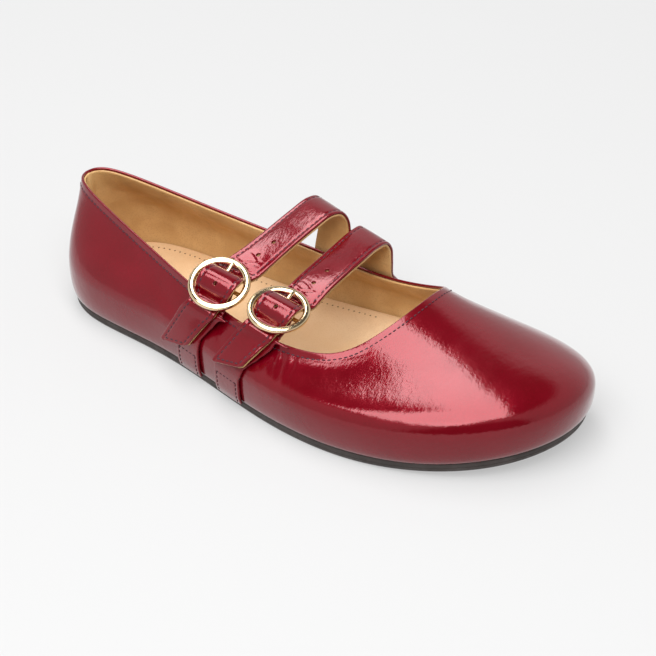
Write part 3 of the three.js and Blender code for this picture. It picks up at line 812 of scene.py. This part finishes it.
def thread(name, dark, light):
    made = Finish(name, dark, 0.6)
    made.colour(made.blend(made.patches(0.35, 2, (0.35, 0.65)), dark, light))
    made.bump(made.noise(0.25, 2), 0.04)
    return made.material


def pale_floor():
    made = Finish("pale_floor", (0.25, 0.25, 0.25), 0.9, **{
        "Emission Color": (1, 1, 1, 1), "Emission Strength": 0.46, "Specular IOR Level": 0.0})
    made.colour(made.blend(made.noise(300, 2), (0.25, 0.25, 0.25), (0.255, 0.255, 0.255)))
    return made.material


PATENT = patent_red()
LINING = tan_lining()
SOCK = pale_sock()
RUBBER = dark_rubber()
GOLD = pale_gold()
RED_THREAD = thread("plum_thread", (0.030, 0.003, 0.009), (0.055, 0.006, 0.018))
TAN_THREAD = thread("tan_thread", (0.40, 0.24, 0.10), (0.55, 0.35, 0.17))
# painted shade: dark brown discs laid on the sock stand for the shade inside its punched holes
PAINTED_HOLE_SHADE = thread("painted_hole_shade", (0.16, 0.085, 0.035), (0.22, 0.12, 0.05))
STITCHES = repeat_tree("laid_stitches", "thread")
# flat discs that carry the painted shade of the sock's punched holes
DOTS = repeat_tree("hole_shade_dots", "dot")


# ---- upper -----------------------------------------------------------------------
def crease_relief(points, normals):
    """Soft troughs with a low ridge beside each, at listed places on the wall."""
    relief = np.zeros(points.shape[:-1])
    for side, at, up, turn, length, width, depth in CREASES:
        u = column_at(side, at, up)
        centre = outer(u, up)
        level = unit(outer(u + side * 0.003, up) - outer(u - side * 0.003, up))
        climb = unit(np.cross(outer_normal(u, up), level)) * side
        angle = math.radians(turn)
        along = level * math.cos(angle) + climb * math.sin(angle)
        across = climb * math.cos(angle) - level * math.sin(angle)
        away = points - centre
        a, b = away @ along, away @ across
        b = b + 0.02 * a ** 2 / max(length, 1)
        share = bell(a / length) * (normals @ outer_normal(u, up) > 0.3)
        relief += depth * share * (0.45 * bell((np.abs(b) - 1.9 * width) / width) - bell(b / width))
    return relief


def slow_waves(points):
    """Gentle unevenness of a hand-lasted wall, fractions of a millimetre over a few centimetres."""
    x, y, z = np.moveaxis(points, -1, 0)
    return (0.10 * np.sin(x / 13 + 1.7 * np.sin(z / 14) + 0.6) * np.sin(y / 15 + z / 11)
            + 0.06 * np.sin(x / 7.5 - y / 12 + 2.1) * np.sin(z / 8 + x / 31 + 1.1))


def upper_leather():
    around = 640
    u = np.arange(around) / around
    low_p = LOW_SHARE * np.linspace(0, 1, 15)[:-1]
    high_p = LOW_SHARE + (1 - LOW_SHARE) * np.linspace(0, 1, 46)
    p = np.concatenate([low_p, high_p])
    grid_u, grid_p = np.meshgrid(u, p, indexing="ij")
    points = outer(grid_u, grid_p)
    normals = outer_normal(grid_u, grid_p)
    steps = np.linalg.norm(np.diff(points, axis=1), axis=-1)
    below = np.concatenate([np.cumsum(steps[:, ::-1], axis=1)[:, ::-1], np.zeros((around, 1))], axis=1)
    relief = crease_relief(points, normals) + slow_waves(points) * np.clip(below / 12, 0, 1)
    relief -= 0.16 * bell((below - TOP_STITCH) / 0.55)
    shell = points + normals * relief[..., None]
    edge = outer(u, 1.0)
    face = outer_normal(u, 1.0)
    climb = unit(edge - outer(u, 0.98))
    radius = LEATHER / 2
    fold = [edge - face * radius + face * radius * math.cos(a) + climb * radius * math.sin(a)
            for a in np.linspace(0, math.pi, 9)[1:-1]]
    inner_p = np.concatenate([[1.0], np.linspace(0.97, LOW_SHARE, 10), [0.12]])
    inner = [wall_point(u, q, -LEATHER) for q in inner_p]
    margin = [feather(u, 1.6, LEATHER), feather(u, 6, LEATHER), feather(u, 6, 0.05), feather(u, 1.2, 0.02)]
    rings = np.stack([*np.moveaxis(shell, 1, 0), *fold, *inner, *margin], 1)
    weld(piece("upper_leather", rings.reshape(-1, 3), skin_faces(around, rings.shape[1]), PATENT,
               ["upper"]))


def lining_skin(u, p):
    """Inner face of the lining, a little wavy where it isn't stuck down flat."""
    base = wall_point(u, p, -WALL)
    x, z = base[..., 0], base[..., 2]
    waves = 0.22 * np.sin(x / 6.5 + 1.5 * np.sin(z / 7)) * np.sin(z / 4.5 + x / 17)
    free = np.clip((1 - p) / 0.25, 0, 1) * np.clip(p / 0.3, 0, 1)
    return base + outer_normal(u, p) * (waves * free)[..., None]


def lining():
    around = 420
    u = np.arange(around) / around
    top = 0.985
    p = np.concatenate([np.linspace(top, LOW_SHARE, 34), np.linspace(LOW_SHARE, 0.05, 8)[1:]])
    grid_u, grid_p = np.meshgrid(u, p, indexing="ij")
    inner = lining_skin(grid_u, grid_p)
    gap = 0.04
    outer_p = np.linspace(0.05, top, 14)
    back = [wall_point(u, q, -LEATHER - gap) for q in outer_p]
    rim = [wall_point(u, top + 0.006, -LEATHER - 0.2), wall_point(u, top + 0.006, -WALL + 0.2)]
    foot = [feather(u, 2.6, 2.0), feather(u, 2.0, 1.4)]
    rings = np.stack([*np.moveaxis(inner, 1, 0), *foot, *back, *rim], 1)
    weld(piece("lining", rings.reshape(-1, 3), skin_faces(around, rings.shape[1]), LINING))


def topline_places(below, lift, pitch):
    """Places of stitches all round the wall, some way below the topline."""
    u = np.linspace(0, 1, 1600)
    p = up_below(u, below)
    points = wall_point(u, p, lift)
    return spaced(points, outer_normal(u, p), pitch)


def seam_line(side, at, low, high, pitch):
    """Places of stitches up a seam on the inside of the lining."""
    p = np.linspace(low, high, 160)
    u = np.array([column_at(side, at, q) for q in p])
    return spaced(lining_skin(u, p), -outer_normal(u, p), pitch)


def upper_stitches():
    seams = [seam_line(side, 44, 0.3, 0.93, 2.4) for side in (1, -1)]
    repeated("lining_seam_stitches", seams, STITCHES, (1.5, 0.45, 0.3), TAN_THREAD)
    topline = [topline_places(TOP_STITCH, -0.05, 2.35)]
    repeated("topline_stitches", topline, STITCHES, (1.75, 0.62, 0.45), RED_THREAD)


# ---- insole and outsole ----------------------------------------------------------
def slab(name, levels, top, bottom, around, across, material, replaces):
    """A closed slab: its side goes through (inset, lift) levels, its top and bottom have their own relief."""
    share = np.linspace(0, 0.5, around)
    share = 0.25 - 0.25 * np.cos(share * 2 * math.pi)
    loop = np.concatenate([share, -share[-2:0:-1]])
    rings = [feather(loop, inset, lift) for inset, lift in levels]
    points = [np.stack(rings)]
    faces = [[q[0], q[3], q[2], q[1]] for q in skin_faces(len(levels), len(loop), close_rows=False)]
    start = len(levels) * len(loop)
    t = np.linspace(0, 1, across)[None, :, None]
    for (inset, lift), shape in ((levels[0], bottom), (levels[-1], top)):
        inner = feather(share, inset, lift)
        outside = feather(-share, inset, lift)
        grid = outside[:, None] * (1 - t) + inner[:, None] * t
        edge = np.minimum(np.linalg.norm(grid - inner[:, None], axis=-1),
                          np.linalg.norm(grid - outside[:, None], axis=-1))
        grid[..., 2] = sole_top(grid[..., 0]) + lift + shape(grid, edge)
        points.append(grid.reshape(-1, 3))
        quads = np.array(skin_faces(around, across, close_rows=False, close_columns=False)) + start
        faces += quads.tolist()
        start += around * across
    points = np.concatenate([block.reshape(-1, 3) for block in points])
    weld(piece(name, points, faces, material, replaces), distance=2e-6, sliver=1e-7)


def flat(grid, edge):
    return np.zeros(edge.shape)


def sock_relief(grid, edge):
    """The sock dips a little under the heel and the ball of the foot."""
    x, y = grid[..., 0], grid[..., 1]
    inside = np.clip((edge - 4) / 14, 0, 1)
    heel = 1.0 * bell((x - 35) / 34) * bell(y / 24)
    ball = 0.7 * bell((x - 175) / 40) * bell((y + 4) / 34)
    wave = 0.12 * np.sin(x / 15 + 1.2) * np.sin(y / 9)
    return -(heel + ball + wave) * inside


def tread_relief(grid, edge):
    """Shallow cross grooves under the heel and the ball, with a plain rim."""
    x = grid[..., 0]
    wave = 0.5 + 0.5 * np.cos((x + 1.6 * np.sin(grid[..., 1] / 5)) / 5.2 * 2 * math.pi)
    zone = np.clip((edge - 6) / 1.5, 0, 1) * (1 - bell((x - 95) / 26) * 0.999)
    return 0.7 * zone * np.clip((wave - 0.55) / 0.3, 0, 1)


def insole():
    levels = ((1.2, INSOLE_LOW), (0.7, INSOLE_LOW + 0.4), (0.5, INSOLE_HIGH - 0.5),
              (0.62, INSOLE_HIGH - 0.16), (0.95, INSOLE_HIGH))
    slab("sock", levels, sock_relief, flat, 260, 61, SOCK, ["insole"])


def outsole():
    levels = ((2.6, -5.0), (1.9, -4.95), (1.3, -4.75), (0.75, -4.3), (0.3, -3.5), (0.02, -2.75), (-0.1, -2.5),
              (0.1, -2.32), (-0.12, -2.14), (-0.25, -1.9), (-0.34, -1.3), (-0.38, -0.7), (-0.3, -0.3),
              (-0.05, -0.06), (1.5, -0.03))
    slab("rubber_sole", levels, flat, tread_relief, 520, 81, RUBBER, ["outsole"])


def insole_dots():
    """Rows of dark discs painted as the shade inside punched holes: one just inside the edge round the heel,
    one arc across the forefoot.
    """
    def on_sock(plan):
        z = sole_top(plan[:, 0]) + INSOLE_HIGH + 0.02
        return np.stack([plan[:, 0], plan[:, 1], z], -1)

    heel_row = feather(np.linspace(-0.30, 0.30, 900), 5.0)
    angle = np.radians(np.linspace(-75, 62, 200))
    arc = np.stack([158 + 17 * np.cos(angle), -4 + 27 * np.sin(angle)], -1)
    rows = []
    for plan in (heel_row, arc):
        rows.append(spaced(on_sock(plan), np.tile(vec(0, 0, 1), (len(plan), 1)), DOT_PITCH))
    # the discs are painted hole shade, a darker sock colour laid on the surface, not real holes
    repeated("sock_holes_painted_shade", rows, DOTS, (0.75, 0.75, 0.12), PAINTED_HOLE_SHADE)


# ---- strip over the back seam ----------------------------------------------------
def back_strip():
    across, up_steps = 31, 120
    reach = 0.05
    half_u = reach * STRIP_WIDTH / 2 / widest(np.float64(reach))[1]
    side = np.linspace(-1, 1, across)
    p = np.linspace(0.012, 0.895, up_steps)
    grid_s, grid_p = np.meshgrid(side, p, indexing="ij")
    edge = (1 - np.abs(grid_s)) * STRIP_WIDTH / 2
    end = np.minimum(grid_p - p[0], p[-1] - grid_p) * 42
    near = np.clip(np.minimum(edge, end) / 0.7, 0, 1)
    proud = 0.12 + 0.95 * np.sqrt(1 - (1 - near) ** 2)
    proud -= 0.16 * bell((edge - EDGE_STITCH) / 0.5) * np.clip(end / 3, 0, 1)
    face = wall_point(half_u * grid_s, grid_p, proud)
    back = wall_point(half_u * grid_s, grid_p, 0.06)
    points = np.concatenate([face.reshape(-1, 3), back.reshape(-1, 3)])
    count = across * up_steps
    sheet = skin_faces(across, up_steps, close_rows=False, close_columns=False)
    faces = sheet + [[v + count for v in q[::-1]] for q in sheet]
    rim = ([k * up_steps for k in range(across)] + [(across - 1) * up_steps + k for k in range(1, up_steps)]
           + [k * up_steps + up_steps - 1 for k in range(across - 2, -1, -1)]
           + [k for k in range(up_steps - 2, 0, -1)])
    faces += [[a, b, b + count, a + count] for a, b in zip(rim, rim[1:] + rim[:1])]
    weld(piece("back_seam_strip", points, faces, PATENT, ["back_strip"]))
    rows = []
    for s in (-1, 1):
        inset = s * (1 - EDGE_STITCH / (STRIP_WIDTH / 2))
        q = np.linspace(0.05, 0.875, 400)
        u = np.full(400, half_u * inset)
        rows.append(spaced(wall_point(u, q, 1.02), outer_normal(u, q), 2.5))
    repeated("back_seam_stitches", rows, STITCHES, (1.8, 0.5, 0.42), RED_THREAD)


# ---- straps, tabs and buckles ----------------------------------------------------
def strap_relief(bar_at):
    """Crowned face, sunk stitch lines, and cross wrinkles where the leather bends up to the buckle."""
    def relief(run, sideways, half):
        share = sideways / half
        crown = 0.16 * (1 - share ** 2)
        line = -0.2 * bell((half - np.abs(sideways) - EDGE_STITCH) / 0.42)
        total = crown + line
        for after, lean, reach, depth in STRAP_WRINKLES:
            off = run - bar_at - after - lean * sideways - 0.8 * np.sin(sideways / 2.3 + after)
            middle = bell(sideways / (reach * 1.3))
            total = total - depth * bell(off / 0.5) * middle
            total = total + depth * 0.5 * bell((off - 1.0) / 0.6) * middle
        return total + 0.05 * np.sin(run / 6.5 + 0.4) * (1 - share ** 2)

    return relief


def line_on(strip, run, sideways, height, pitch, margin=0.5):
    """Places of stitches along a line on a band."""
    return spaced(strip.point(run, sideways, height), strip.sample(strip.out, run), pitch, margin)


def strap(name, rim):
    strip = strap_strip(name, rim)
    bar_at = strip.marks_run[BAR_ROW]
    relief = strap_relief(bar_at)
    top = STRAP_THICK / 2
    spots = bar_at + vec(*HOLES[name])
    holes = list(zip(strip.sample(strip.at, spots), strip.sample(strip.out, spots)))
    face = band(f"strap_{name}_face", strip, -0.15, top, 0.5, 0.0, PATENT,
                [f"strap_{name}"], relief)
    under = band(f"strap_{name}_lining", strip, -top, -0.2, 0.25, 0.12, LINING,
                 ends=1.4, steps=17)
    punched(face, holes)
    punched(under, holes)
    run = np.linspace(EDGE_STITCH, strip.length - 1, 900)
    half = strip.sample(strip.half, run)
    rows = []
    for side in (-1, 1):
        sideways = side * (half - EDGE_STITCH)
        rows.append(line_on(strip, run, sideways, top + relief(run, sideways, half) + 0.02, STITCH_PITCH))
    reach = half[0] - EDGE_STITCH - 1
    sideways = np.linspace(-reach, reach, 40)
    run = np.full(40, EDGE_STITCH)
    rows.append(line_on(strip, run, sideways, top + relief(run, sideways, half[0]), STITCH_PITCH, 0.1))
    repeated(f"strap_{name}_stitches", rows, STITCHES, (1.9, 0.65, 0.45), RED_THREAD)


def tab(name, rim):
    strip = tab_strip(name, rim)

    def relief(run, sideways, half):
        line = bell((half - np.abs(sideways) - TAB_STITCH) / 0.4) * (run < TAB_SEWN + 0.5)
        return 0.05 * (1 - (sideways / half) ** 2) - 0.10 * line

    band(f"buckle_tab_{name}_leather", strip, -TAB_THICK / 2, TAB_THICK / 2, 0.4, 0.0, PATENT,
         [f"buckle_tab_{name}"], relief, ends=0.0, steps=25)
    height = TAB_THICK / 2 + 0.03
    run = np.linspace(0.8, TAB_SEWN, 60)
    edge = strip.sample(strip.half, run) - TAB_STITCH
    rows = [line_on(strip, run, side * edge, height, 2.2, 0.4) for side in (-1, 1)]
    sideways = np.linspace(-edge[-1], edge[-1], 60)
    rows.append(line_on(strip, np.full(60, TAB_SEWN), sideways, height, 2.2, 0.3))
    repeated(f"buckle_tab_{name}_stitches", rows, STITCHES, (1.6, 0.45, 0.4), RED_THREAD)


def swept(path, across, up, section, closed=False):
    """Sections (along the width, along the height) carried along a path, as a closed skin or a capped bar."""
    rings = path[:, None] + across[:, None] * section[..., 0:1] + up[:, None] * section[..., 1:2]
    count, around = rings.shape[:2]
    faces = skin_faces(count, around) if closed else band_faces(count, around)
    return rings.reshape(-1, 3), faces


def buckle_ring(name, rim):
    """A round ring, domed above and flatter inside, with its centre bar."""
    steps = 144
    turn = np.linspace(0, 2 * math.pi, steps, endpoint=False)
    radial = np.outer(np.cos(turn), rim["bar"]) + np.outer(np.sin(turn), rim["inner"])
    up = np.tile(rim["up"], (steps, 1))
    angle = np.linspace(0, 2 * math.pi, 32, endpoint=False)
    power = 0.82
    wide = WIRE_WIDE / 2 * np.sign(np.cos(angle)) * np.abs(np.cos(angle)) ** power
    high = WIRE_HIGH / 2 * np.sign(np.sin(angle)) * np.abs(np.sin(angle)) ** power
    section = np.stack([wide, high], -1)[None].repeat(steps, 0)
    points, faces = swept(rim["centre"] + radial * RING_MEAN, radial, up, section, closed=True)
    weld(piece(f"buckle_{name}_ring", points, faces, GOLD, [f"buckle_{name}"]))
    reach = RING_MEAN - WIRE_WIDE / 4
    along = np.linspace(-reach, reach, 25)
    path = rim["centre"] + np.outer(along, rim["bar"]) - rim["up"] * BAR_DROP
    angle = np.linspace(0, 2 * math.pi, 16, endpoint=False)
    swell = BAR_RADIUS * (1 + 0.25 * np.clip((np.abs(along) - reach + 2.2) / 2.2, 0, 1) ** 2)
    section = swell[:, None, None] * np.stack([np.cos(angle), np.sin(angle)], -1)[None]
    points, faces = swept(path, np.tile(rim["inner"], (25, 1)), np.tile(rim["up"], (25, 1)), section)
    weld(piece(f"buckle_{name}_bar", points, faces, GOLD))


def prong(name, rim):
    """The pin: hooked round the bar, through the strap, its tip resting on the ring."""
    hook = BAR_RADIUS + GAP + PRONG_THICK / 2
    route = [(0, hook * math.cos(math.radians(a)), hook * math.sin(math.radians(a)) - BAR_DROP)
             for a in np.arange(265, 84, -20)]
    tip = WIRE_HIGH / 2 + GAP / 2 + PRONG_THICK / 2
    route += [(0, 2.6, 0.55), (0, 4.4, 0.9), (0, 6.6, 1.6), (0, 9, tip), (0, 11.2, tip - 0.05)]
    marks = in_ring(rim, route)
    path = smooth_curve(marks, np.linspace(0, len(marks) - 1, 90))
    ahead = unit(np.gradient(path, axis=0))
    across = np.tile(rim["bar"], (90, 1))
    up = unit(np.cross(across, ahead))
    run = run_along(path)
    left = run[-1] - run
    rounding = 1 - (1 - np.clip(left / 0.8, 0.02, 1)) ** 2
    taper = (0.72 + 0.28 * np.clip(left / 9, 0, 1)) * np.sqrt(np.clip(rounding, 0.03, 1))
    angle = np.linspace(0, 2 * math.pi, 18, endpoint=False)
    shape = np.stack([PRONG_WIDE / 2 * np.cos(angle), PRONG_THICK / 2 * np.sin(angle)], -1)
    points, faces = swept(path, across, up, taper[:, None, None] * shape[None])
    weld(piece(f"prong_{name}_pin", points, faces, GOLD, [f"prong_{name}"]))


# ---- studio ----------------------------------------------------------------------
AZIMUTH = 36.36
ELEVATION = 33.78
AIM = (0.0073, -0.0013, 0.0236)
DISTANCE = 1.45
LENS = 188.0
# The slanting bank of light over the shoe: the point it lights, its distance in metres, the way towards it,
# and the ways across and along it.
BANK_AIM = Vector((0.05, -0.01, 0.05))
BANK_AWAY = 1.3
BANK_TOWARDS = Vector((0.06, -0.35, 0.935))
BANK_ACROSS = Vector((0.785, -0.559, -0.261))
BANK_ALONG = Vector((0.616, 0.746, 0.242))
BANK_LIGHT = 6.2
WALL_LIGHT = 0.8
DARK_LIGHT = 0.12


def camera():
    az, el = math.radians(AZIMUTH), math.radians(ELEVATION)
    back = vec(math.sin(az) * math.cos(el), -math.cos(az) * math.cos(el), math.sin(el))
    data = bpy.data.cameras.new("camera")
    data.lens = LENS
    data.sensor_width = 36
    data.clip_end = 50
    obj = linked("camera", data)
    obj.location = vec(*AIM) + back * DISTANCE
    obj.rotation_euler = (math.pi / 2 - el, 0, az)
    bpy.context.scene.camera = obj


def softbox(name, across, along):
    """One panel of the bank, between limits across and along it."""
    width, height = across[1] - across[0], along[1] - along[0]
    data = bpy.data.lights.new(name, "AREA")
    data.shape = "RECTANGLE"
    data.size, data.size_y = width, height
    data.energy = BANK_LIGHT * math.pi * width * height
    obj = linked(name, data)
    obj.location = (BANK_AIM + BANK_AWAY * BANK_TOWARDS
                    + BANK_ACROSS * sum(across) / 2 + BANK_ALONG * sum(along) / 2)
    obj.rotation_euler = Matrix((BANK_ACROSS, BANK_ALONG, BANK_TOWARDS)).transposed().to_euler()


def surroundings():
    """Light walls up to shoulder height, a darker ceiling, and darkness where the viewer stands."""
    world = bpy.data.worlds.new("studio")
    bpy.context.scene.world = world
    world.use_nodes = True
    tree = world.node_tree
    place = tree.nodes.new("ShaderNodeTexCoord").outputs["Generated"]
    split = tree.nodes.new("ShaderNodeSeparateXYZ")
    tree.links.new(place, split.inputs["Vector"])
    facing = tree.nodes.new("ShaderNodeVectorMath")
    facing.operation = "DOT_PRODUCT"
    facing.inputs[1].default_value = (0.68, -0.73, 0)
    tree.links.new(place, facing.inputs[0])
    product = tree.nodes.new("ShaderNodeMath")
    product.operation = "MULTIPLY"
    for k, (source, low, high) in enumerate(((split.outputs["Z"], 0.66, 0.8),
                                             (facing.outputs["Value"], 0.74, 0.86))):
        level = tree.nodes.new("ShaderNodeMapRange")
        level.interpolation_type = "SMOOTHSTEP"
        tree.links.new(source, level.inputs["Value"])
        set_range(level, low, high, WALL_LIGHT, DARK_LIGHT)
        tree.links.new(level.outputs["Result"], product.inputs[k])
    sky = tree.nodes["Background"]
    sky.inputs["Color"].default_value = (1, 1, 1, 1)
    tree.links.new(product.outputs["Value"], sky.inputs["Strength"])


def studio():
    bpy.ops.mesh.primitive_plane_add(size=12, location=(0, 0, 0))
    floor = bpy.context.object
    floor.name = "floor"
    floor.data.materials.append(pale_floor())
    softbox("bank_far", (-1.9, 0.78), (-0.03, 0.55))
    softbox("bank_near", (-0.42, 0.85), (-0.65, -0.03))
    surroundings()
    bpy.context.scene.view_settings.view_transform = "Standard"


# ---- the shoe --------------------------------------------------------------------
camera()
outsole()
insole()
insole_dots()
upper_leather()
lining()
upper_stitches()
back_strip()
for buckle, setting in BUCKLES.items():
    ring = ring_frame(**setting)
    strap(buckle, ring)
    tab(buckle, ring)
    buckle_ring(buckle, ring)
    prong(buckle, ring)
studio()
